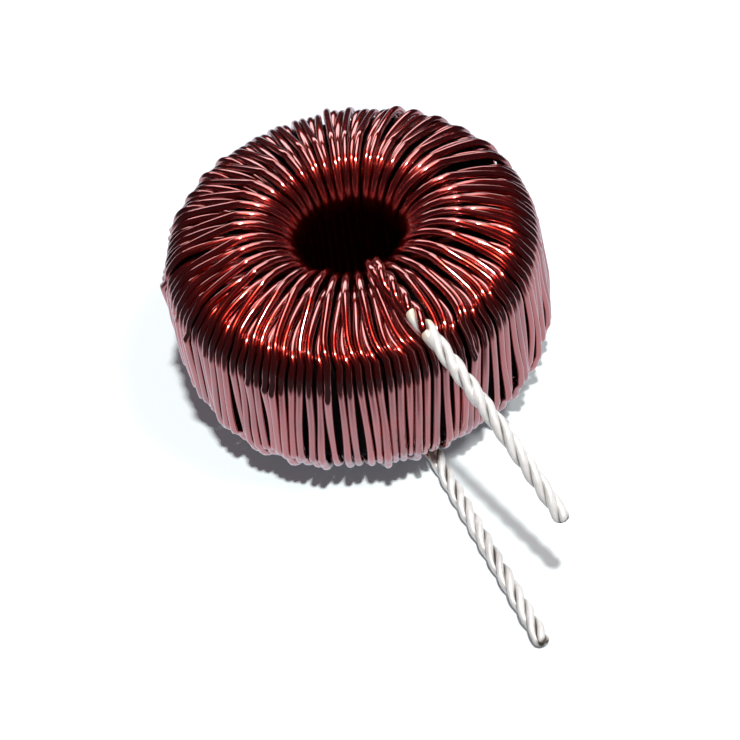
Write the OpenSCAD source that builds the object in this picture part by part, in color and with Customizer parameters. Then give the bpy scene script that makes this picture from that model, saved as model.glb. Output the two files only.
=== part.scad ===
// Toroidal power inductor: a coated powder core wound with three parallel strands of
// enamelled copper wire. At each end the strands are twisted together and tinned.
// +Z is up. The origin lies on the core's axis, on the surface that the coil rests on,
// and the lower lead runs out along -Y.

/* [Core] */
// Outside diameter of the coated core
core_od = 47; // [45:0.1:52]
// Diameter of the hole through the coated core
core_id = 23.8; // [23:0.1:26]
// Height of the coated core
core_h = 18.4; // [14:0.1:24]
// Radius of the rounded edges of the core
core_edge = 2.6; // [1.8:0.1:4]

/* [Winding] */
// Diameter of one strand over its enamel
wire_d = 1.06; // [0.9:0.01:1.15]
// Free space beside each strand on the outer wall
wire_gap = 0.14; // [0.12:0.01:0.4]
// Space between neighbouring turns of the innermost strand, inside the hole
throat_gap = 0.03; // [0.02:0.01:0.1]
// Space between the first layer and the core, on the outer wall and edges
wall_slack = 0.25; // [0.2:0.01:0.5]
// Space between the first layer and the core, inside the hole
hole_slack = 0.6; // [0.3:0.05:0.8]
// Bend radius of the strands, at their middle, over the edges of the hole
lip_bend = 3.6; // [2.4:0.1:3.7]
// How far the strands bow outward at mid height of the outer wall
wall_bow = 0.25; // [0:0.05:0.6]
// Part of the gap between the two leads that the turns on the wall close up
gap_share = 0.9; // [0:0.05:1]
// How unevenly the turns stand off the outer wall
unevenness = 0.3; // [0:0.05:0.5]
// How far the loosest turn bulges at the lower outer edge
loose_bulge = 1.2; // [0:0.1:2]

/* [Leads] */
// How far inside the core's rim the lower lead's tin starts
tin_inset = 1.5; // [0:0.5:3]
// Length of the tinned lower lead
lower_length = 33; // [15:0.5:50]
// How far outside the innermost strands the strands of the upper lead come together
root_out = 5.2; // [4.5:0.1:6]
// How far round the strands of the upper lead lean over the first turn, in degrees
root_lean = 5.6; // [4:0.1:7]
// Free height between the winding and the upper lead where its strands come together
root_clear = 0.2; // [0.2:0.1:0.5]
// Length of the upper lead that is twisted but not yet tinned
upper_bare = 8.5; // [7:0.5:11]
// How far out the tip of the upper lead lies from where its strands come together
upper_span = 35.5; // [24:0.5:48]
// How far the tip of the upper lead hangs below the top of the coil
upper_drop = 13.9; // [4:0.1:16]
// Direction in which the upper lead's tip lies, from the lower lead's direction
upper_turn = 8.6; // [4:0.2:20]
// Length in which the twisted strands go once round
lay_length = 8.8; // [6:0.1:14]
// Radius of the solder that fills the valleys between the twisted strands
solder_r = 0.7; // [0.5:0.05:0.9]

/* [Hidden] */
strands = 3;
rad = 180 / PI;
lead_az = -90;

// The section of the core, and the radii that the winding meets
hole_r = core_id / 2;
rim_r = core_od / 2;
wall_r = rim_r + wall_slack + wire_d / 2;
groups = floor(2 * PI * wall_r / (strands * (wire_d + wire_gap)));
pitch = 360 / groups;
slot = pitch / strands;
throat_r = groups * (wire_d + throat_gap) / (2 * PI);
flat_r = groups * strands * (wire_d + wire_gap / 2) / (2 * PI);
hole_step = (hole_r - wire_d / 2 - hole_slack - throat_r) / 2;
face_step = 1.42 * wire_d;

// One turn runs up the hole, out over the top, down the wall and in along the bottom. It
// has three stations round each edge, and one at mid height of the wall. Each of those
// outside the hole holds the core's radius, its height from mid height, and the angle of
// its outward normal.
edge_in = hole_r + core_edge;
edge_out = rim_r - core_edge;
edge_z = core_h / 2 - core_edge;
edge_angles = [0, 45, 90];
edge_stations = len(edge_angles);
outside = concat(
    [for (a = edge_angles) corner(edge_out, edge_z, 90 - a)],
    [[rim_r, 0, 0]],
    [for (a = edge_angles) corner(edge_out, -edge_z, -a)]
);
per_turn = len(outside) + 2 * edge_stations;
foot_station = per_turn - edge_stations;
wall_station = edge_stations;

// How far round the turn each station is, from 0 at mid height of the hole to 1
quarter = PI * core_edge / 2;
face_run = edge_out - edge_in;
turn_run = 4 * edge_z + 2 * face_run + 4 * quarter;
top_start = edge_z + quarter;
wall_start = top_start + face_run + quarter;
wall_end = wall_start + 2 * edge_z;
foot_start = wall_end + quarter + face_run;
progress = [
    for (run = concat(
        [for (a = edge_angles) edge_z + quarter * a / 90],
        [for (a = edge_angles) top_start + face_run + quarter * a / 90],
        [(wall_start + wall_end) / 2],
        [for (a = edge_angles) wall_end + quarter * a / 90],
        [for (a = edge_angles) foot_start + quarter * a / 90]
    )) run / turn_run
];

// The base is the lowest point of the innermost strand, so the core's middle is this high
mid_z = lip_top(strands - 1) + wire_d / 2;
// The first turn is placed so that its bottom run leaves the coil along the lower lead
first_az = lead_az + 1.5 * slot - (1 - progress[foot_station]) * pitch;
middle_turn = (groups - 1) / 2;

// The twisted leads: three touching strands round one axis, and their solder
strand_ring = (wire_d + throat_gap) / sqrt(3);
bundle_r = strand_ring + wire_d / 2;
lobe_points = 6;
lobe_pitch = 360 / strands;
bundle_points = strands * lobe_points;
lead_step = lay_length / 8;
wire_sides = 6;

function corner(r, z, a) = [r + core_edge * cos(a), z + core_edge * sin(a), a];
function clamp(x) = min(1, max(0, x));
function spread(r) = clamp((r - hole_r) / (flat_r - hole_r));

// Distance from the core's surface to the middle of strand k: the strands lie in three
// layers in the hole and come down side by side towards the outer wall
function second_step(u) = face_step * (1 - u * u) + (hole_step - face_step) * pow(1 - u, 4);
function third_step(u) = hole_step * pow(1 - u, 2);
function slack(u) = wall_slack + (hole_slack - wall_slack) * (1 - u);
function stack(k, r) = let (u = spread(r)) wire_d / 2 + slack(u)
    + (k > 0 ? second_step(u) : 0) + (k > 1 ? third_step(u) : 0);

// Over the edge of the hole each strand bends on its own arc, from its layer in the hole to
// its height on the face. The arc's points are radius and height from the core's mid height.
function lip_top(k) = core_h / 2 + stack(k, edge_in);
function lip(k, a) = [
    hole_r - stack(k, hole_r) + lip_bend * (1 - cos(a)),
    lip_top(k) - lip_bend * (1 - sin(a))
];

// Angle of strand k behind the first one of its group, where its middle has radius r:
// the second and third strands lie side by side as soon as there is room for them
widest_slots = 1.65;
function behind(k, r) = let (gap = max(slot, min((wire_d + throat_gap) / r * rad, widest_slots * slot)))
    k == 0 ? 0 : 1.5 * slot + (k == 1 ? -gap : gap) / 2;

// Outward play of one turn on the outer wall, and of the few loose turns at its foot. A loose
// turn holds its place along the winding, its strand, and its share of the bulge.
loose_turns = [[9.6, 0, 1], [10.6, 1, 0.5], [37.6, 1, 1], [38.6, 0, 0.4], [24.6, 2, 0.6]];
loose_stretch = 0.09;
wobble_per_turn = 222;
wobble_per_strand = 130;
function wobble(k, t) = (1 + sin(wobble_per_turn * t + wobble_per_strand * k)) / 2;
function play(k, t, u) = unevenness * u * u * wobble(k, t) + loose_bulge * loose_sum(k, t);
function loose_sum(k, t) = max([
    for (l = loose_turns) l[1] == k ? l[2] * exp(-pow((t - l[0]) / loose_stretch, 2)) : 0
]);

// Direction of turn t of the first strand. There is one run less on the wall than in the
// hole, so the runs on the wall spread apart and close most of the gap that this leaves.
closing_power = 6;
function turn_az(t, u) = first_az - t * pitch
    - (t - middle_turn) * gap_share * pow(u, closing_power) * pitch / groups;

function polar(r, az, z) = [r * cos(az), r * sin(az), z];
function turn_point(k, turn, i) = let (t = turn + progress[i])
    i < edge_stations ? lip_point(k, t, edge_angles[i], 1)
    : i < foot_station ? outside_point(k, t, i - edge_stations)
    : lip_point(k, t, edge_angles[per_turn - 1 - i], -1);
function lip_point(k, t, a, top) = let (p = lip(k, a))
    polar(p[0], turn_az(t, spread(p[0])) - behind(k, p[0]), mid_z + top * p[1]);
function outside_point(k, t, i) = let (
    s = outside[i],
    u = spread(s[0]),
    h = stack(k, s[0]) + play(k, t, u) + (i == wall_station ? wall_bow : 0),
    r = s[0] + h * cos(s[2])
) polar(r, turn_az(t, u) - behind(k, r), mid_z + s[1] + h * sin(s[2]));

// Where a strand lies in a twisted lead: frame holds the lead's middle, its sideways
// direction and its upward direction, and a is the strand's angle in that section.
// In the lower lead the first strand starts on top, and in the upper lead at its foot.
function lobe_angle(k) = 90 - lobe_pitch * k;
function in_bundle(frame, a) = frame[0]
    + strand_ring * cos(a) * frame[1]
    + strand_ring * sin(a) * frame[2];

// Outline of the twisted bundle, where lobe 0 points up
function lobe_radius(a) = let (
    off = abs((a + lobe_pitch / 2) % lobe_pitch - lobe_pitch / 2),
    side = strand_ring * sin(off),
    reach = sqrt(max(0, wire_d * wire_d / 4 - side * side))
) max(solder_r, strand_ring * cos(off) + reach);
function outline(turned) = [
    for (i = [0:bundle_points - 1]) let (a = i * 360 / bundle_points)
        lobe_radius(a) * [cos(a + turned), sin(a + turned)]
];

// The lower lead lies straight along the surface, from its tin to its tip
lower_tin = rim_r - tin_inset;
function lower_frame(run) = [[0, -lower_tin - run, bundle_r], [1, 0, 0], [0, 0, 1]];

// The upper lead's strands come together over the first turns, beside the last one. From
// there it runs out over the winding and bends down to its tip, on a curve with four
// controls. Each holds its share of the span, its share of the turn round the core's axis,
// and its height over the root.
crest_z = mid_z + lip_top(strands - 1);
upper_root = throat_r + root_out;
last_az = 360 + turn_az(groups - 1 + progress[0], 0) - behind(strands - 1, upper_root);
root_az = last_az - root_lean;
root_z = crest_z + wire_d / 2 + root_clear + bundle_r;
root_roll = 30;
tip_az = lead_az + upper_turn;
tip_z = crest_z + wire_d / 2 - upper_drop;
upper_shape = [[0, 0, 0], [0.18, 0.2, 0.8], [0.53, 0.72, -2.9], [1, 1, tip_z - root_z]];
upper_controls = [
    for (s = upper_shape) polar(
        upper_root + s[0] * upper_span,
        root_az + s[1] * (tip_az - root_az),
        root_z + s[2]
    )
];
curve_weights = [1, 3, 3, 1];
curve_steps = 48;
tangent_step = 0.01;
function on_curve(controls, f) = [
    for (i = [0:3]) curve_weights[i] * pow(1 - f, 3 - i) * pow(f, i)
] * controls;
function upper_mid(f) = on_curve(upper_controls, f);
upper_line = [for (i = [0:curve_steps]) upper_mid(i / curve_steps)];
upper_runs = [
    for (i = 0, run = 0; i <= curve_steps;
        i = i + 1, run = i > curve_steps ? run : run + norm(upper_line[i] - upper_line[i - 1])) run
];
upper_len = upper_runs[curve_steps];
upper_table = [for (i = [0:curve_steps]) [upper_runs[i], i / curve_steps]];
function unit(v) = v / norm(v);
function upper_frame(run) = let (
    f = lookup(run, upper_table),
    along = unit(upper_mid(f + tangent_step) - upper_mid(f - tangent_step)),
    side = unit(cross([0, 0, 1], along))
) [upper_mid(f), side, cross(along, side)];
function twist(run) = 360 * run / lay_length;
function upper_roll(run) = root_roll + twist(run);
bare_steps = ceil(upper_bare / lead_step);

// Out of the hole a strand rises and bends over to the root of the upper lead, on a curve
// whose middle controls lie straight above the hole and straight behind the root
strand_rise = 6;
strand_reach = 3;
rise_steps = 5;
root_frame = upper_frame(0);
root_along = cross(root_frame[1], root_frame[2]);
function rising_points(k) = let (
    foot = turn_point(k, groups - 1, 0),
    head = in_bundle(root_frame, upper_roll(0) - lobe_angle(k)),
    controls = [foot, foot + [0, 0, strand_rise], head - strand_reach * root_along, head]
) [for (i = [0:rise_steps - 1]) on_curve(controls, i / rise_steps)];

// Every point of strand k, from the lower lead's tin to the upper lead's
function strand_points(k) = concat(
    [in_bundle(lower_frame(0), lobe_angle(k))],
    [for (i = [foot_station:per_turn - 1]) turn_point(k, -1, i)],
    [for (turn = [0:groups - 2], i = [0:per_turn - 1]) turn_point(k, turn, i)],
    rising_points(k),
    [for (i = [0:bare_steps]) let (run = upper_bare * i / bare_steps)
        in_bundle(upper_frame(run), upper_roll(run) - lobe_angle(k))]
);

// Rings of points round a path that runs up, over, down and under the core
function ring(p, along) = let (
    around = unit([-p[1], p[0], 0]),
    side = unit(around - (around * along) * along),
    up = cross(along, side)
) [
    for (i = [0:wire_sides - 1]) let (a = (i + 0.5) * 360 / wire_sides)
        p + wire_d / 2 * (cos(a) * side + sin(a) * up)
];
function strand_rings(points) = let (last = len(points) - 1) [
    for (i = [0:last]) ring(points[i],
        i == 0 ? [0, 1, 0]
        : i == last ? bare_end
        : unit(unit(points[i] - points[i - 1]) + unit(points[i + 1] - points[i])))
];
bare_frame = upper_frame(upper_bare);
bare_end = cross(bare_frame[1], bare_frame[2]);
function bundle_ring(frame, turned) = [
    for (q = outline(turned)) frame[0] + q[0] * frame[1] + q[1] * frame[2]
];

// A closed skin over a row of rings that all have the same number of points
module skin(rings) {
    n = len(rings[0]);
    last = len(rings) - 1;
    polyhedron(
        points = [for (r = rings, p = r) p],
        faces = concat(
            [[for (i = [0:n - 1]) i]],
            [for (r = [0:last - 1], i = [0:n - 1])
                [r * n + i, (r + 1) * n + i, (r + 1) * n + (i + 1) % n]],
            [for (r = [0:last - 1], i = [0:n - 1])
                [r * n + i, (r + 1) * n + (i + 1) % n, r * n + (i + 1) % n]],
            [[for (i = [n - 1:-1:0]) last * n + i]]
        )
    );
}

module core() {
    color([0.09, 0.09, 0.1])
        translate([0, 0, mid_z])
            rotate_extrude($fn = 96) {
                translate([hole_r, -edge_z]) square([rim_r - hole_r, 2 * edge_z]);
                translate([edge_in, -core_h / 2]) square([face_run, core_h]);
                for (r = [edge_in, edge_out], z = [-edge_z, edge_z])
                    translate([r, z]) circle(r = core_edge, $fn = 32);
            }
}

module strand(k) {
    color([0.42, 0.09, 0.07]) skin(strand_rings(strand_points(k)));
}

module lower_lead() {
    steps = ceil(lower_length / lead_step);
    color([0.82, 0.81, 0.78]) skin([
        for (i = [0:steps]) let (run = lower_length * i / steps)
            bundle_ring(lower_frame(run), lobe_angle(0) + twist(run))
    ]);
}

module upper_lead() {
    run = upper_len - upper_bare;
    steps = ceil(run / lead_step);
    color([0.82, 0.81, 0.78]) skin([
        for (i = [0:steps]) let (at = upper_bare + run * i / steps)
            bundle_ring(upper_frame(at), upper_roll(at) - lobe_angle(0))
    ]);
}

core();
strand(0);  // strand_1
strand(1);  // strand_2
strand(2);  // strand_3
lower_lead();
upper_lead();
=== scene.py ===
# Toroidal inductor: three strands of enamelled copper wire wound side by side round a
# black coated ring core. Both ends of the winding are twisted together and tinned.
# Lengths are in millimetres and angles in degrees until a mesh is made.
import bpy
import numpy as np
from mathutils import Matrix, Vector


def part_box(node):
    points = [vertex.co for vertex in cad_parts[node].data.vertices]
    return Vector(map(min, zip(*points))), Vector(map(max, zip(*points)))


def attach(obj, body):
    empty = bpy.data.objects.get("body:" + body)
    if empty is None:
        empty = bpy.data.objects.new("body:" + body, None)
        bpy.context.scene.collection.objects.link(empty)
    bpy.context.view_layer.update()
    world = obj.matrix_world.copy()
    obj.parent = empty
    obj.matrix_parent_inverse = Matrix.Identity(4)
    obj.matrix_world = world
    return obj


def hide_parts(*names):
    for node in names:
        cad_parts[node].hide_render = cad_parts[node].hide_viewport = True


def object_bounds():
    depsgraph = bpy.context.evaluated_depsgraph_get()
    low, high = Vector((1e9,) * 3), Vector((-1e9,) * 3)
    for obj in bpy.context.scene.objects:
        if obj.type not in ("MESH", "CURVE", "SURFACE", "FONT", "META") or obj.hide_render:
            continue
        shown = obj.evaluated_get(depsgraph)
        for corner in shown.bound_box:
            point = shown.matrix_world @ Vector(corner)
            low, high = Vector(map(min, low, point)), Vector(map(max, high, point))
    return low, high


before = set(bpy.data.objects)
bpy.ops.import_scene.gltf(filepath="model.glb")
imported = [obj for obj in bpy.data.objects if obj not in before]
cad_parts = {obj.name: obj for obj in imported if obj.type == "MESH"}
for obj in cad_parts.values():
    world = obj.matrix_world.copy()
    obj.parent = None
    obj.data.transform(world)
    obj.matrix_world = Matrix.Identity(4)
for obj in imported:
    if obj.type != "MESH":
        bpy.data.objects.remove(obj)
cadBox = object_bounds()
mm = 0.001
boxLow, boxHigh = (np.array(corner) / mm for corner in cadBox)
print("frame loaded, box in mm", boxLow.round(2), boxHigh.round(2))


def polar(radius, azimuth, height):
    radius, azimuth, height = np.broadcast_arrays(radius, np.radians(azimuth), height)
    return np.stack([radius * np.cos(azimuth), radius * np.sin(azimuth), height], -1)


def unit(vectors):
    return vectors / np.linalg.norm(vectors, axis=-1, keepdims=True)


def cubic(controls, share):
    # Bezier curve with four controls, at shares of its length from 0 to 1
    s = np.asarray(share)[..., None]
    weights = np.concatenate([(1 - s) ** 3, 3 * (1 - s) ** 2 * s, 3 * (1 - s) * s**2, s**3], -1)
    return weights @ np.array(controls)


def blurred(values, passes):
    # each pass replaces a value by the 1-2-1 mean of itself and its neighbours on the path
    for _ in range(passes):
        ends = np.concatenate([values[:, :1], values, values[:, -1:]], 1)
        values = (ends[:, :-2] + 2 * ends[:, 1:-1] + ends[:, 2:]) / 4
    return values


# the winding's course
coreLow, coreHigh = (np.array(corner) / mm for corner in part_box("core"))
coil = {
    "holeRadius": 11.9,        # of the coated core
    "edgeRadius": 2.6,         # rounding of the core's edges
    "strandWidth": 1.06,       # over its enamel
    "strandGap": 0.14,         # beside each strand on the outer wall
    "throatGap": 0.03,         # between the innermost strands
    "wallSlack": 0.25,         # between the first layer and the core's outer wall
    "holeSlack": 0.6,          # the same inside the hole
    "lipBends": (4.4, 5.2, 6.0),  # bend radius of each strand over the edge of the hole
    "wallBow": 0.22,           # how far a run bows out at mid height of the wall
    "faceRise": 1.42,          # of the second layer over the first, in strand widths
    "pairSpread": 1.65,        # most slots between the second and third strand
    "gapShare": 0.9,           # part of the gap between the leads that the wall closes up
    "looseBulge": 1.7,         # of the loosest turn
    "looseShare": 0.09,        # of a turn that bulges
    "looseTurns": [  # turn, strand and share of the bulge
        (4.6, 0, 0.4), (5.6, 1, 0.6), (6.6, 2, 0.8), (7.6, 0, 0.7), (8.6, 1, 0.4), (24.6, 2, 0.4),
        (33.6, 0, 0.6), (34.6, 2, 1.0), (35.6, 0, 0.8), (36.6, 1, 0.9), (37.6, 2, 0.5),
    ],
    "samples": 96,             # rings in one turn
    "sides": 16,               # corners of a ring
}
holeR = coil["holeRadius"]
rimR = coreHigh[0]
halfCore = (coreHigh[2] - coreLow[2]) / 2
midZ = (coreHigh[2] + coreLow[2]) / 2
edgeR = coil["edgeRadius"]
strandW = coil["strandWidth"]
strandR = strandW / 2
strandCount = 3
wallR = rimR + coil["wallSlack"] + strandR
turnCount = int(2 * np.pi * wallR / (strandCount * (strandW + coil["strandGap"])))
pitch = 360 / turnCount
slotAngle = pitch / strandCount
throatR = turnCount * (strandW + coil["throatGap"]) / (2 * np.pi)
flatR = turnCount * strandCount * (strandW + coil["strandGap"] / 2) / (2 * np.pi)
holeStep = (holeR - strandR - coil["holeSlack"] - throatR) / 2
faceStep = coil["faceRise"] * strandW
edgeIn, edgeOut, edgeZ = holeR + edgeR, rimR - edgeR, halfCore - edgeR

# lengths along the core's section: up the hole, over the top, down the wall, in below
quarter = np.pi * edgeR / 2
face = edgeOut - edgeIn
legs = [0, edgeZ, quarter, face, quarter, 2 * edgeZ, quarter, face, quarter, edgeZ]
knots = np.cumsum(legs) / np.sum(legs)
firstTurn = knots[7] - 1
lastTurn = turnCount - 1 + knots[1]
firstAz = -90 + 1.5 * slotAngle + firstTurn * pitch
middleTurn = (turnCount - 1) / 2


def spread(radius):
    return np.clip((radius - holeR) / (flatR - holeR), 0, 1)


def stack(strand, radius):
    # height of a strand's middle over the core: three layers in the hole that run out
    # to one layer at the outer wall
    u = spread(radius)
    slack = coil["wallSlack"] + (coil["holeSlack"] - coil["wallSlack"]) * (1 - u)
    second = faceStep * (1 - u**2) + (holeStep - faceStep) * (1 - u) ** 4
    third = holeStep * (1 - u) ** 2
    return strandR + slack + (strand > 0) * second + (strand > 1) * third


def behind(strand, radius):
    # angle behind the first strand of the group; the other two lie side by side
    gap = np.degrees((strandW + coil["throatGap"]) / radius)
    gap = np.maximum(slotAngle, np.minimum(gap, coil["pairSpread"] * slotAngle))
    return 0 * gap if strand == 0 else 1.5 * slotAngle + (gap if strand == 2 else -gap) / 2


def bulge(strand, turn, arcX, arcZ):
    # a run bows out at mid height of the wall, and a few turns hang loose at its foot
    width = coil["looseShare"]
    loose = sum(s * np.exp(-(((turn - t) / width) ** 2)) for t, k, s in coil["looseTurns"] if k == strand)
    onWall = (arcX > edgeOut - 0.01) & (abs(arcZ) < edgeZ)
    bow = np.clip(np.cos(np.pi * arcZ / (2 * edgeZ)), 0, 1) * onWall
    return coil["looseBulge"] * loose + coil["wallBow"] * bow


def coilRoute(strand, turn):
    # the section is a rounded oblong whose corners are arcs: a point is the arc's middle
    # plus its reach along the normal, and the turn number gives its direction
    share = turn % 1
    normal = np.radians(np.interp(share, knots, [180, 180, 90, 90, 0, 0, -90, -90, -180, -180]))
    lipBend = coil["lipBends"][strand]
    lipX = holeR - stack(strand, holeR) + lipBend
    lipZ = halfCore + stack(strand, edgeIn) - lipBend
    arcX = np.interp(share, knots, [lipX] * 3 + [edgeOut] * 4 + [lipX] * 3)
    arcLift = np.interp(share, knots, [lipZ] * 3 + [edgeZ] * 4 + [lipZ] * 3)
    arcZ = np.interp(share, knots, [0, lipZ, lipZ, edgeZ, edgeZ, -edgeZ, -edgeZ, -lipZ, -lipZ, 0])
    overCore = np.clip(arcX + edgeR * np.cos(normal), edgeIn, rimR)
    reach = halfCore + stack(strand, overCore) - arcLift
    reach = np.where(arcX > lipX, reach, lipBend)
    outside = spread(arcX + reach * np.cos(normal))
    reach = reach + bulge(strand, turn, arcX, arcZ)
    radius = arcX + reach * np.cos(normal)
    azimuth = firstAz - turn * pitch - behind(strand, radius)
    azimuth = azimuth - (turn - middleTurn) * coil["gapShare"] * outside**6 * pitch / turnCount
    return radius, azimuth, midZ + arcZ + reach * np.sin(normal), normal


# uneven turns
wander = {
    "seed": 11,
    # at each place of a turn: in the hole, on the top lip, in the middle of the top, on the
    # outer top edge, in the middle of the wall, on the outer bottom edge, on the bottom lip
    "sideways": (0.04, 0.18, 0.10, 0.12, 0.12, 0.28, 0.20),  # each strand on its own
    "together": (0.05, 0.23, 0.10, 0.17, 0.12, 0.65, 0.20),  # neighbours with each other
    "outward": (0.04, 0.25, 0.25, 0.10, 0.38, 0.55, 0.10),
    "arch": 0.9,                     # how far the runs over the top arch in their middle
    "topLifts": (0.35, 0.5, 1.2),    # share of the runs, and how far they stand off the edge
    "topSide": 110.0,                # azimuth of the side where most of them are
    "topBias": (0.6, 0.4),           # of that share: all round, and more or less by side
    "footLifts": (0.25, 0.3, 1.0),
    "bulgeShare": 0.25,              # part of a lift that goes sideways, off the wall
    "standLimit": 1.0,               # how far a run can stand off the even wall
    "calmRate": 1.5,                 # per turn, how soon the unevenness sets in at the ends
    "smoothing": 36,                 # blur passes over the drawn values
    "relaxSteps": 80,
    "pushShare": 0.5,                # of an overlap that one step takes away
    "blurEvery": 4,                  # steps
    "blurPasses": 3,
    "coreClear": 0.02,               # between a strand and the core
    "boxClear": 0.01,                # between a strand and the solids' box
}
rng = np.random.default_rng(wander["seed"])
samples = coil["samples"]
turns = np.arange(int(round(firstTurn * samples)), int(round(lastTurn * samples)) + 1) / samples
topLip, topEdge, footEdge, footLip = (knots[1:9:2] + knots[2:9:2]) / 2
placeShares = np.array([
    0, topLip, (topLip + topEdge) / 2, topEdge, (topEdge + footEdge) / 2, footEdge, footLip,
])
wholeTurns = np.arange(-1, turnCount + 1)
placeTurns = (wholeTurns[:, None] + placeShares).ravel()
drawn = (strandCount, len(wholeTurns), len(placeShares))


def straying(values):
    # values at the places of every turn, joined by straight runs that are then smoothed
    joined = [np.interp(turns, placeTurns, row) for row in values.reshape(strandCount, -1)]
    return blurred(np.array(joined)[..., None], wander["smoothing"])[..., 0]


def rareLifts(lifts, weight):
    share, least, most = lifts
    return (rng.random(drawn[:2]) < share * weight) * rng.uniform(least, most, drawn[:2])


onTop, onTopEdge, onWall, onFootEdge = 2, 3, 4, 5  # among those places
leaning = rng.normal(size=drawn) * wander["sideways"]
shared = rng.normal(size=drawn[1:])
leaning += (shared + np.roll(shared, 1, 0)) / np.sqrt(2) * wander["together"]
for middle in (onTop, onWall):  # a run stays straight over the top and down the wall
    leaning[..., middle] += (leaning[..., middle - 1] + leaning[..., middle + 1]) / 2
sideways = straying(leaning)
standing = abs(rng.normal(size=drawn)) * wander["outward"]
toBack = np.radians(firstAz - wholeTurns * pitch - wander["topSide"])
evenly, bySide = wander["topBias"]
standing[..., onTop] += wander["arch"]
standing[..., onTopEdge] += rareLifts(wander["topLifts"], evenly + bySide * np.cos(toBack))
standing[..., onFootEdge] += rareLifts(wander["footLifts"], 1)
outward = straying(standing)

routes = np.zeros((strandCount, len(turns), 3))
for k in range(strandCount):
    radius, azimuth, height, normal = coilRoute(k, turns)
    calm = np.clip(np.minimum(turns - turns[0], turns[-1] - turns) * wander["calmRate"], 0, 1)
    azimuth = azimuth + np.degrees(sideways[k] * calm / radius)
    onEdge = (radius > edgeIn) & (abs(height - midZ) > edgeZ)
    radius = radius + outward[k] * calm * np.cos(normal) * np.where(onEdge, wander["bulgeShare"], 1)
    height = height + outward[k] * calm * np.sin(normal)
    routes[k] = polar(radius, azimuth, height)


def pairOffsets():
    # which points of two strands can meet: the same place up to two turns on, a few rings
    # before or after it
    for a in range(strandCount):
        for b in range(a, strandCount):
            for turn in range(-2, 3):
                for shift in range(-6, 7) if a != b else range(-2, 3):
                    if a != b or turn > 0:
                        yield a, b, turn * samples + shift


def pushApart(routes, pairs):
    # how far each point has to move so that no two strands overlap. Of two paths only the
    # points that lie abreast, within about half a ring's stride, push each other.
    along = unit(np.gradient(routes, axis=1))
    stride = np.linalg.norm(np.gradient(routes, axis=1), axis=-1)
    push = np.zeros_like(routes)
    for a, b, shift in pairs:
        n = routes.shape[1] - abs(shift)
        i, j = max(0, -shift), max(0, shift)
        gap = routes[b, j:j + n] - routes[a, i:i + n]
        slide = np.sum(gap * along[a, i:i + n], -1)
        gap = gap - slide[:, None] * along[a, i:i + n]
        width = np.linalg.norm(gap, axis=-1) + 1e-6
        near = (abs(slide) < 0.55 * stride[a, i:i + n]) & (width < strandW)
        force = (gap / width[:, None]) * np.where(near, (strandW - width) / 2, 0)[:, None]
        push[a, i:i + n] -= force
        push[b, j:j + n] += force
    return push


def offCore(routes):
    # points nearer than a strand's radius to the core's rounded section move straight off
    # it, and none stands further out than the limit
    flat = np.linalg.norm(routes[..., :2], axis=-1)
    across, above = flat - (rimR + holeR) / 2, routes[..., 2] - midZ
    overX = abs(across) - (rimR - holeR) / 2 + edgeR
    overZ = abs(above) - halfCore + edgeR
    outX, outZ = np.maximum(overX, 0), np.maximum(overZ, 0)
    length = np.hypot(outX, outZ)
    depth = length + np.minimum(np.maximum(overX, overZ), 0) - edgeR
    miss = np.maximum(strandR + wander["coreClear"] - depth, 0)
    beside = length < 1e-5
    stepX = np.sign(across) * np.where(beside, overX > overZ, outX / np.maximum(length, 1e-6)) * miss
    stepZ = np.sign(above) * np.where(beside, overZ >= overX, outZ / np.maximum(length, 1e-6)) * miss
    widest = wallR + wander["standLimit"]
    routes[..., :2] *= (np.minimum(flat + stepX, widest) / flat)[..., None]
    routes[..., 2] += stepZ
    return routes


def relaxed(routes, steps):
    # the pushes are blurred along the strand now and then, so that it stays a smooth bend
    start = routes.copy()
    pairs = list(pairOffsets())
    every, clear = wander["blurEvery"], wander["boxClear"]
    for step in range(steps):
        routes = routes + wander["pushShare"] * pushApart(routes, pairs)
        if step % every == every - 1:
            routes = start + blurred(routes - start, wander["blurPasses"])
        routes = np.clip(offCore(routes), boxLow + strandR + clear, boxHigh - strandR - clear)
    return routes


routes = relaxed(routes, wander["relaxSteps"])
print("winding laid:", turnCount, "turns of", strandCount, "strands")

# the leads' course
lead = {
    "lowerStart": 22.0,        # distance of the lower lead's tin from the axis
    "lowerLength": 33.0,
    "rootOut": 5.2,            # from the innermost strands to where the upper lead begins
    "rootLean": 5.6,           # how far round its strands lean over the first turn
    "rootClear": 0.2,          # between the lead and the winding below it
    "span": 35.5,
    "drop": 13.9,
    "tipAzimuth": -81.4,
    "layLength": 8.8,          # in which the strands go once round
    "rootRoll": 30.0,
    "strandRise": 6.0,         # how steeply a strand leaves the hole, and how straight
    "strandReach": 3.0,        # it comes in to the lead
    "bareLengths": (9.6, 10.9, 7.6),  # of each strand in the upper lead, up to its tin
    "curveRings": 97,          # points that the upper lead's length is measured over
    "joinRings": 14,           # rings between the winding and a lead
    "lowerTucks": (0.8, 0.4),  # a strand runs on inside the tin this far, a ring each
    "upperTucks": (0.6, 0.3),
    "tuckWidth": 0.85,         # of a strand's last rings, inside the tin
}
ringR = (strandW + coil["throatGap"]) / np.sqrt(3)
bundleR = ringR + strandR
crestZ = midZ + halfCore + stack(2, edgeIn)
upperRoot = throatR + lead["rootOut"]
rootAz = 360 + firstAz - lastTurn * pitch - behind(2, upperRoot) - lead["rootLean"]
rootZ = crestZ + strandR + lead["rootClear"] + bundleR
tipFall = crestZ + strandR - lead["drop"] - rootZ
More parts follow.
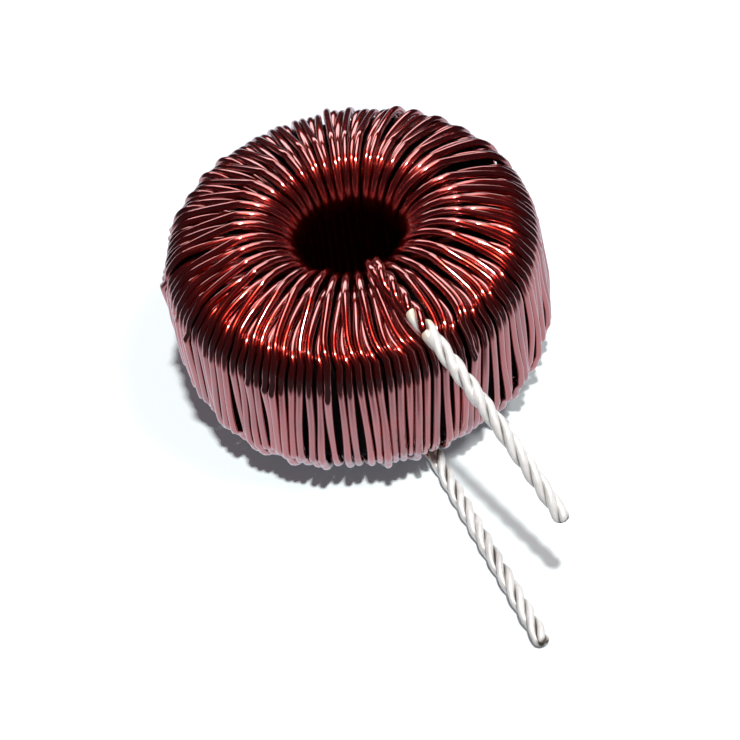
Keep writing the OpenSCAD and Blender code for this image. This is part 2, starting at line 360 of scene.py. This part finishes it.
# share of the span, share of the turn round the axis, and height over the root
upperShape = [(0, 0, 0), (0.18, 0.2, 0.8), (0.53, 0.72, -2.9), (1, 1, tipFall)]
upperControls = [
    polar(upperRoot + out * lead["span"], rootAz + turned * (lead["tipAzimuth"] - rootAz), rootZ + up)
    for out, turned, up in upperShape
]
curveShares = np.linspace(0, 1, lead["curveRings"])
curvePoints = cubic(upperControls, curveShares)
curveRuns = np.cumsum(np.r_[0, np.linalg.norm(np.diff(curvePoints, axis=0), axis=1)])
upperLength = curveRuns[-1]


def upperFrame(run):
    # middle of the lead, its sideways direction and its upward direction
    f = np.interp(run, curveRuns, curveShares)
    along = unit(cubic(upperControls, f + 0.01) - cubic(upperControls, f - 0.01))
    side = unit(np.cross([0, 0, 1], along))
    return cubic(upperControls, f), side, np.cross(along, side)


def lowerFrame(run):
    middle = np.stack([0 * run, -lead["lowerStart"] - run, 0 * run + bundleR], -1)
    side, up = np.eye(3)[[0, 2]]
    return middle, np.broadcast_to(side, middle.shape), np.broadcast_to(up, middle.shape)


def inBundle(frameParts, radius, angle):
    middle, side, up = frameParts
    angle = np.radians(angle)[..., None]
    return middle + radius * (np.cos(angle) * side + np.sin(angle) * up)


def lobeAngle(strand):
    return 90 - 120 * strand


def lowerRoll(run):
    return 360 * run / lead["layLength"]


def upperRoll(run):
    return lead["rootRoll"] + 360 * run / lead["layLength"]


def toCoil(wire, route):
    # from the lower lead straight out of its twist and straight into the winding
    reach = np.linalg.norm(route[0] - wire[-1]) / 3
    controls = [wire[-1], wire[-1] + reach * unit(wire[-1] - wire[-2]),
                route[0] - reach * unit(route[1] - route[0]), route[0]]
    return cubic(controls, np.linspace(0, 1, lead["joinRings"] + 2)[1:-1])


def toLead(route, wire):
    # out of the hole straight up, and over into the upper lead's twist
    middle, side, up = upperFrame(np.zeros(1))
    along = np.cross(side, up)[0]
    controls = [route[-1], route[-1] + [0, 0, lead["strandRise"]],
                wire[0] - lead["strandReach"] * along, wire[0]]
    return cubic(controls, np.linspace(0, 1, lead["joinRings"] + 2)[1:-1])


def strandPath(k):
    lowerTuck, lowerStep = lead["lowerTucks"]
    upperTuck, upperStep = lead["upperTucks"]
    lowerRuns = np.arange(lowerTuck, -lowerStep / 4, -lowerStep)
    upperRuns = np.arange(0, lead["bareLengths"][k] + upperTuck, upperStep)
    lowerWire = inBundle(lowerFrame(lowerRuns), ringR, lobeAngle(k) + lowerRoll(lowerRuns))
    upperWire = inBundle(upperFrame(upperRuns), ringR, upperRoll(upperRuns) - lobeAngle(k))
    path = np.concatenate([
        lowerWire, toCoil(lowerWire, routes[k]), routes[k], toLead(routes[k], upperWire), upperWire,
    ])
    path[:, 2] = np.clip(path[:, 2], strandR, boxHigh[2] - strandR - wander["boxClear"] / 2)
    return path


# surfaces
def gridPiece(name, grid, attributes):
    # rings x sides: neighbouring corners are joined, and a fan of triangles closes each end
    rings, sides = grid.shape[:2]
    index = np.arange(rings * sides).reshape(rings, sides)
    after = np.roll(index, -1, 1)
    quads = np.stack([index[:-1], after[:-1], after[1:], index[1:]], -1).reshape(-1, 4)
    first = np.stack([after[0], index[0], np.full(sides, rings * sides)], -1)
    last = np.stack([index[-1], after[-1], np.full(sides, rings * sides + 1)], -1)
    verts = np.concatenate([grid.reshape(-1, 3), grid[[0, -1]].mean(1)]) * mm
    mesh = bpy.data.meshes.new(name)
    mesh.from_pydata(verts.tolist(), [], quads.tolist() + first.tolist() + last.tolist())
    mesh.shade_smooth()
    for key, values in attributes.items():
        values = np.broadcast_to(values.reshape(rings, -1), (rings, sides))
        values = np.concatenate([values.ravel(), values[[0, -1]].mean(1)]).astype(np.float32)
        mesh.attributes.new(key, "FLOAT", "POINT").data.foreach_set("value", values)
    piece = bpy.data.objects.new(name, mesh)
    bpy.context.scene.collection.objects.link(piece)
    return piece


def tube(path, radii, sides):
    # a circle carried along the path; its zero angle always points round the core's axis
    along = unit(np.gradient(path, axis=0))
    around = unit(np.stack([-path[:, 1], path[:, 0], 0 * path[:, 0]], -1))
    side = unit(around - np.sum(around * along, -1, keepdims=True) * along)
    up = np.cross(along, side)
    angle = 2 * np.pi * np.arange(sides) / sides
    cosine, sine = np.cos(angle)[None, :, None], np.sin(angle)[None, :, None]
    circle = cosine * side[:, None] + sine * up[:, None]
    return path[:, None] + radii[:, None, None] * circle


def dress(piece, node):
    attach(piece, "root")
    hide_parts(node)
    return piece


strandPieces = []
for k in range(strandCount):
    path = strandPath(k)
    radii = np.full(len(path), strandR)
    radii[:2] = radii[-2:] = lead["tuckWidth"] * strandR
    # the enamel's tone drifts from one half turn to the next
    places = np.arange(0, len(path) + samples, samples // 2)
    tone = np.interp(np.arange(len(path)), places, rng.random(len(places)))
    piece = gridPiece(f"enamelled_strand_{k + 1}", tube(path, radii, coil["sides"]), {"tone": tone})
    strandPieces.append(dress(piece, f"strand_{k + 1}"))
print("strands swept")

# tinned ends
tin = {
    "lowerFill": 0.20,           # how far solder fills the valleys between the strands
    "upperFill": 0.45,
    "fillWaves": (6, 1.6, 0.6),  # ripples of the fill: their number, rate and height
    "fillTop": 0.97,             # part of the bundle's radius that a full valley comes to
    "lumpWaves": (9, 5, 0.09),   # the same as for the fill, for the lumps in the skin
    "bead": 0.07,                # height of the bead where the tin starts
    "startLength": 0.5,          # over which the skin comes up out of the strand
    "hiddenShare": 0.8,          # of the lobe's radius, where the skin runs before that
    "fluxLength": 1.1,           # of the yellow flux at the start
    "tails": (0.4, 1.0),         # how far each skin begins before its first tin
    "rings": 220,
    "sides": 48,
    "cap": 0.9,                  # length over which a tip rounds off
}


def waves(run, angle, count, seed, rate):
    # a sum of sine ripples over the lead's length and its circumference
    local = np.random.default_rng(seed)
    total = 0
    for _ in range(count):
        along = local.uniform(0.3, 1) * rate * run
        total = total + np.sin(along + local.integers(0, 4) * angle + local.uniform(0, 7))
    return total / count


def leadSkin(frameOf, rollOf, firstRun, lastRun, starts, fill, seed):
    # three touching circles with solder in the valleys between them. Before its own start
    # the skin of a lobe runs inside the bare strand, and the ends close in a rounded cap.
    run = np.linspace(firstRun, lastRun, tin["rings"])[:, None]
    angle = np.linspace(0, 360, tin["sides"], endpoint=False)[None]
    turned = np.radians(angle)
    off = np.abs((angle + 60) % 120 - 60)
    sideStep = ringR * np.sin(np.radians(off))
    lobes = ringR * np.cos(np.radians(off)) + np.sqrt(np.maximum(strandR**2 - sideStep**2, 0))
    count, rate, height = tin["fillWaves"]
    amount = np.clip(fill + height * waves(run, turned, count, seed, rate), 0, 1)
    radius = lobes + np.maximum(bundleR * tin["fillTop"] - lobes, 0) * amount
    count, rate, height = tin["lumpWaves"]
    radius = radius - height * (1 + waves(run, turned, count, seed + 1, rate)) / 2
    start = np.array(starts)[((angle + 60) // 120 % 3).astype(int)]
    rise, hidden = tin["startLength"], tin["hiddenShare"] * lobes
    tinned = np.clip((run - start) / rise, 0, 1) ** 0.5
    bead = np.exp(-(((run - start - rise) / rise) ** 2))
    radius = hidden + (radius + tin["bead"] * bead - hidden) * tinned
    closing = np.clip(np.minimum(run - firstRun, lastRun - run) / tin["cap"], 0, 1)
    radius = radius * np.sqrt(1 - (1 - closing) ** 2)
    middle, side, up = (part[:, None] for part in frameOf(run[:, 0]))
    heading = np.radians(angle + rollOf(run))[..., None]
    grid = middle + radius[..., None] * (np.cos(heading) * side + np.sin(heading) * up)
    flux = np.exp(-(((run - start) / tin["fluxLength"]) ** 2)) * tinned
    return grid, {"flux": flux, "cleft": np.clip((bundleR - radius) / (bundleR - ringR / 2), 0, 1)}


# strand k is lobe k of the upper lead, and the lower lead counts them the other way round
lowerLobes, upperLobes = [0, 0, 0], lead["bareLengths"]
lowerTail, upperTail = tin["tails"]
lowerPiece = dress(gridPiece("tinned_lower_lead", *leadSkin(
    lowerFrame, lambda run: lobeAngle(0) + lowerRoll(run), -lowerTail, lead["lowerLength"],
    lowerLobes, tin["lowerFill"], 3)), "lower_lead")
upperPiece = dress(gridPiece("tinned_upper_lead", *leadSkin(
    upperFrame, lambda run: upperRoll(run) - lobeAngle(0), min(upperLobes) - upperTail, upperLength,
    upperLobes, tin["upperFill"], 5)), "upper_lead")
lowest = np.array([v.co.z for v in lowerPiece.data.vertices]).min()
print("leads made, lowest point in mm", round(lowest / mm, 3))


# finishes
def linear(hexColour):
    srgb = np.array([int(hexColour[i:i + 2], 16) for i in (1, 3, 5)]) / 255
    return (*np.where(srgb <= 0.04045, srgb / 12.92, ((srgb + 0.055) / 1.055) ** 2.4), 1)


def addNode(tree, kind, settings=None, values=None, links=None):
    node = tree.nodes.new(kind)
    for key, value in (settings or {}).items():
        setattr(node, key, value)
    for key, value in (values or {}).items():
        node.inputs[key].default_value = value
    for key, source in (links or {}).items():
        tree.links.new(source, node.inputs[key])
    return node


def newMaterial(name):
    material = bpy.data.materials.new(name)
    material.use_nodes = True
    material.node_tree.nodes.clear()
    return material, material.node_tree


def finishMaterial(tree, shader):
    addNode(tree, "ShaderNodeOutputMaterial", links={"Surface": shader})


def math(tree, operation, first, second, third=None):
    # each term is a number or another node's output
    terms = {i: term for i, term in enumerate((first, second, third)) if term is not None}
    numbers = {i: term for i, term in terms.items() if isinstance(term, (int, float))}
    linked = {i: term for i, term in terms.items() if i not in numbers}
    return addNode(tree, "ShaderNodeMath", {"operation": operation}, numbers, linked).outputs[0]


def grain(tree, size, detail):
    # fine noise over the object's own coordinates, with features of a size in mm
    place = addNode(tree, "ShaderNodeTexCoord").outputs["Object"]
    noise = addNode(tree, "ShaderNodeTexNoise", values={"Scale": 1 / (size * mm), "Detail": detail},
                    links={"Vector": place})
    return noise.outputs["Fac"]


def ramp(tree, amount, positions, colours):
    # a colour that goes from the first of two hex colours to the second between two amounts
    node = addNode(tree, "ShaderNodeValToRGB", links={"Fac": amount})
    for element, position, colour in zip(node.color_ramp.elements, positions, colours):
        element.position = position
        element.color = linear(colour)
    return node.outputs["Color"]


def mixed(tree, share, base, hexColour):
    # a colour that turns to the hex colour as the share goes from 0 to 1
    node = addNode(tree, "ShaderNodeMix", {"data_type": "RGBA"}, values={7: linear(hexColour)},
                   links={0: share, 6: base})
    return node.outputs[2]


def bumped(tree, height, strength, depth):
    node = addNode(tree, "ShaderNodeBump", values={"Strength": strength, "Distance": depth * mm},
                   links={"Height": height})
    return node.outputs["Normal"]


# Enamelled magnet wire: bright drawn copper under a clear red-brown varnish. The metal
# gives deep red glints, and the smooth varnish a sharp white one on top of them.
enamel = {
    "tones": ("#88150d", "#b0281c"),
    "toneRange": (0.35, 1.0),  # amounts of patch and drift together that give the two tones
    "toneDrift": 0.6,          # part of it that drifts along a strand
    "patchSize": 1000 / 260,   # sizes in mm: 260 patches in a metre
    "roughness": 0.22,         # of the drawn metal
    "varnishRoughness": 0.07,
    "varnishIor": 2.4,         # more than a real varnish has, because its glint is so strong
    "rippleSize": 1000 / 1500,  # drawn coarser than the real ripple, so that it shows
    "ripple": (0.05, 0.1),     # strength, and depth in mm
}
material, tree = newMaterial("red_enamelled_copper")
tone = addNode(tree, "ShaderNodeAttribute", {"attribute_name": "tone"}).outputs["Fac"]
amount = math(tree, "MULTIPLY_ADD", tone, enamel["toneDrift"], grain(tree, enamel["patchSize"], 3))
ripple = bumped(tree, grain(tree, enamel["rippleSize"], 2), *enamel["ripple"])
shader = addNode(tree, "ShaderNodeBsdfPrincipled",
                 values={"Metallic": 1.0, "Roughness": enamel["roughness"], "Coat Weight": 1.0,
                         "Coat Roughness": enamel["varnishRoughness"],
                         "Coat IOR": enamel["varnishIor"]},
                 links={"Base Color": ramp(tree, amount, enamel["toneRange"], enamel["tones"]),
                        "Normal": ripple})
finishMaterial(tree, shader.outputs[0])
for piece in strandPieces:
    piece.data.materials.append(material)

# Solder, dipped by hand: a dull, frosty skin with small lumps, yellowed by a little flux
# where it starts, with painted shade in the clefts between the strands
solder = {
    "tones": ("#e6e5e1", "#f7f7f5"),
    "toneRange": (0.3, 0.7),
    "fluxTone": "#ece2bd",
    "cleftShadeTone": "#575047",     # painted shade in the clefts between the strands
    "cleftShadeRange": (0.35, 0.75),  # depths of a cleft where the painted shade begins and where it is full
    "metallic": 0.2,
    "roughness": 0.42,
    "lumpSize": 1000 / 900,    # in mm
    "lumps": (0.35, 0.2),      # strength, and depth in mm
}
material, tree = newMaterial("dull_dipped_solder")
lumps = grain(tree, solder["lumpSize"], 4)
flux = addNode(tree, "ShaderNodeAttribute", {"attribute_name": "flux"}).outputs["Fac"]
cleft = addNode(tree, "ShaderNodeAttribute", {"attribute_name": "cleft"}).outputs["Fac"]
# painted shade: the deeper a cleft between the strands, the more its colour turns dark grey
leastCleftShade, mostCleftShade = solder["cleftShadeRange"]
cleftShade = addNode(tree, "ShaderNodeMapRange", values={"From Min": leastCleftShade, "From Max": mostCleftShade},
               links={"Value": cleft})
skin = ramp(tree, lumps, solder["toneRange"], solder["tones"])
yellowed = mixed(tree, flux, skin, solder["fluxTone"])
shader = addNode(tree, "ShaderNodeBsdfPrincipled",
                 values={"Metallic": solder["metallic"], "Roughness": solder["roughness"]},
                 links={"Base Color": mixed(tree, cleftShade.outputs[0], yellowed, solder["cleftShadeTone"]),
                        "Normal": bumped(tree, lumps, *solder["lumps"])})
finishMaterial(tree, shader.outputs[0])
for piece in (lowerPiece, upperPiece):
    piece.data.materials.append(material)

# Black epoxy coating, fluid-bed dipped: dull and very dark, with a fine orange-peel skin
epoxy = {
    "tones": ("#030304", "#09090b"),
    "roughness": 0.65,
    "ior": 1.25,               # less than real epoxy has: hardly a glint shows between the wires
    "specular": 0.2,
    "peelSize": 1000 / 1800,   # in mm
    "peel": (0.3, 0.1),        # strength, and depth in mm
}
material, tree = newMaterial("black_epoxy_coating")
peel = grain(tree, epoxy["peelSize"], 2)
shader = addNode(tree, "ShaderNodeBsdfPrincipled",
                 values={"Roughness": epoxy["roughness"], "IOR": epoxy["ior"],
                         "Specular IOR Level": epoxy["specular"]},
                 links={"Base Color": ramp(tree, peel, (0.0, 1.0), epoxy["tones"]),
                        "Normal": bumped(tree, peel, *epoxy["peel"])})
finishMaterial(tree, shader.outputs[0])
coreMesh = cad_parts["core"].data
coreMesh.materials.clear()
coreMesh.materials.append(material)
print("finishes set")

# floor, light and camera
studio = {
    "floorRadius": 2500.0,
    "floorSides": 64,
    "floorDrop": 0.02,           # below the lowest wire
    "paintedPoolInner": (17.0, 25.0),   # a painted pool of light: in the metal, the floor glows from dark to white over the
    "paintedPoolOuter": (79.0, 97.0),   # first pair of radii, and fades out again over the second
    "paintedPoolBeyond": 0.06,          # what is left of the painted glow outside the pool
    "paintedPoolCentre": (22.0, 38.0),  # of the outer edge: the painted glow reaches further at the back
    "paintedPoolTint": "#e9f2ff",
    "paperMatte": 0.8,           # the paper's own grey
    "paperWhite": 1.0,           # what it is in the camera's eyes
    "paperLeast": 0.1,           # glow that keeps the deepest shadow grey
    "paperRed": 0.92,            # less red in it, against the room's red light in the shadow
    "lampHeight": 1500.0,        # one small, high lamp: crisp shadows and hot glints
    "lampWidth": 120.0,
    "lampPower": 21.0,
    "lampPlace": (60.0, -310.0),
    "shadeWidth": 440.0,         # the lamp's warm shade, round it
    "shadePower": 1.9,
    "shadeTint": "#ffbc80",
    "fillPlace": (250.0, -140.0, 520.0),
    "fillWidth": 170.0,
    "fillPower": 1.25,
    "boxPlace": (95.0, 150.0, 480.0),
    "boxWidth": 330.0,
    "boxPower": 0.85,
    "backPlace": (130.0, 530.0, 320.0),
    "backWidth": 780.0,
    "backHeight": 200.0,
    "backPower": 1.5,
    "lampTarget": (0.0, 0.0, 15.0),  # the coil's middle
    "surround": "#44262b",       # a dim, warm room
}
angle = np.linspace(0, 2 * np.pi, studio["floorSides"], endpoint=False)
disc = np.stack([np.cos(angle), np.sin(angle), 0 * angle], -1) * studio["floorRadius"] * mm
mesh = bpy.data.meshes.new("floor")
mesh.from_pydata(disc.tolist(), [], [list(range(studio["floorSides"]))])
floor = bpy.data.objects.new("floor", mesh)
bpy.context.scene.collection.objects.link(floor)
floor.location.z = -studio["floorDrop"] * mm


def step(tree, value, start, end, low, high):
    # from the low to the high result, smoothly between two distances in mm
    values = {"From Min": start * mm, "From Max": end * mm, "To Min": low, "To Max": high}
    smooth = {"interpolation_type": "SMOOTHSTEP"}
    return addNode(tree, "ShaderNodeMapRange", smooth, values, {"Value": value}).outputs[0]


# White paper under strong light. The camera sees it white and keeps the shadow. The metal
# sees a painted pool of light on it: a ring round the coil glows in reflections only, with
# the unlit room beyond, and none of that painted glow is thrown back on the paper.
material, tree = newMaterial("white_paper_with_painted_glow")
place = addNode(tree, "ShaderNodeTexCoord").outputs["Object"]
distance = addNode(tree, "ShaderNodeVectorMath", {"operation": "LENGTH"}, links={0: place}).outputs["Value"]
inner = step(tree, distance, *studio["paintedPoolInner"], 0.0, 1.0)
centre = (*(place * mm for place in studio["paintedPoolCentre"]), 0)
offset = addNode(tree, "ShaderNodeVectorMath", {"operation": "DISTANCE"}, {1: centre}, {0: place})
outer = step(tree, offset.outputs["Value"], *studio["paintedPoolOuter"], 1.0, studio["paintedPoolBeyond"])
ray = addNode(tree, "ShaderNodeLightPath")
mirrored, seen = ray.outputs["Is Glossy Ray"], ray.outputs["Is Camera Ray"]
direct = math(tree, "LESS_THAN", ray.outputs["Diffuse Depth"], 0.5)  # not by way of the paper
# painted reflection: a glowing ring on the floor that only glossy rays see, not after a bounce off the
# paper
pool = math(tree, "MULTIPLY", inner, outer)
matteGrey = math(tree, "MULTIPLY", math(tree, "SUBTRACT", 1.0, mirrored), studio["paperMatte"])
bright = math(tree, "MULTIPLY_ADD", seen, studio["paperWhite"] - studio["paperMatte"], matteGrey)
red = math(tree, "MULTIPLY", bright, studio["paperRed"])
paper = addNode(tree, "ShaderNodeCombineColor", links={0: red, 1: bright, 2: bright})
matte = addNode(tree, "ShaderNodeBsdfDiffuse", links={"Color": paper.outputs[0]})
paintedPoolSeen = math(tree, "MULTIPLY", pool, math(tree, "MULTIPLY", mirrored, direct))
glow = addNode(tree, "ShaderNodeEmission", values={"Color": linear(studio["paintedPoolTint"])},
               links={"Strength": math(tree, "MULTIPLY_ADD", seen, studio["paperLeast"], paintedPoolSeen)})
both = addNode(tree, "ShaderNodeAddShader", links={0: matte.outputs[0], 1: glow.outputs[0]})
finishMaterial(tree, both.outputs[0])
floor.data.materials.append(material)


def areaLamp(name, place, target, width, power):
    light = bpy.data.lights.new(name, "AREA")
    light.shape = "DISK"
    light.size = width * mm
    light.energy = power
    lamp = bpy.data.objects.new(name, light)
    lamp.location = Vector(place) * mm
    lamp.rotation_euler = (Vector(target) - Vector(place)).to_track_quat("-Z", "Y").to_euler()
    bpy.context.scene.collection.objects.link(lamp)
    return lamp


overhead, target = (*studio["lampPlace"], studio["lampHeight"]), studio["lampTarget"]
areaLamp("overhead_lamp", overhead, (0, 0, 0), studio["lampWidth"], studio["lampPower"])
shade = areaLamp("lamp_shade", overhead, (0, 0, 0), studio["shadeWidth"], studio["shadePower"])
shade.data.color = linear(studio["shadeTint"])[:3]
shade.visible_diffuse = False       # an orange rim round each glint in the copper
backWindow = areaLamp("back_window", studio["backPlace"], target, studio["backWidth"], studio["backPower"])
backWindow.data.shape = "RECTANGLE"
backWindow.data.size_y = studio["backHeight"] * mm
backWindow.visible_diffuse = False  # it only shows as a glint in the metal
softBox = areaLamp("soft_box", studio["boxPlace"], target, studio["boxWidth"], studio["boxPower"])
softBox.visible_diffuse = False     # the broad pale line along every wire
fill = areaLamp("front_fill", studio["fillPlace"], (0, 0, 0), studio["fillWidth"], studio["fillPower"])
fill.visible_glossy = False         # it only lights the paper and the dull surfaces

world = bpy.data.worlds.new("studio")
world.use_nodes = True
world.node_tree.nodes["Background"].inputs["Color"].default_value = linear(studio["surround"])
bpy.context.scene.world = world

view = {
    "place": (-45.49, -167.43, 201.71),  # of the camera
    "aim": (-1.63, -4.09, 0.0),          # the point of the floor at the middle of the frame
    "roll": 10.5,                        # the camera leans this much to its right
    "focal": 1900 / 740,                 # focal length in frame widths
}
camera = bpy.data.cameras.new("camera")
camera.sensor_width = 36
camera.lens = view["focal"] * camera.sensor_width
cameraObject = bpy.data.objects.new("camera", camera)
aimed = (Vector(view["aim"]) - Vector(view["place"])).to_track_quat("-Z", "Y").to_matrix().to_4x4()
cameraObject.matrix_world = (Matrix.Translation(Vector(view["place"]) * mm) @ aimed
                             @ Matrix.Rotation(np.radians(-view["roll"]), 4, "Z"))
bpy.context.scene.collection.objects.link(cameraObject)
bpy.context.scene.camera = cameraObject
bpy.context.scene.view_settings.view_transform = "Standard"
print("stage set")
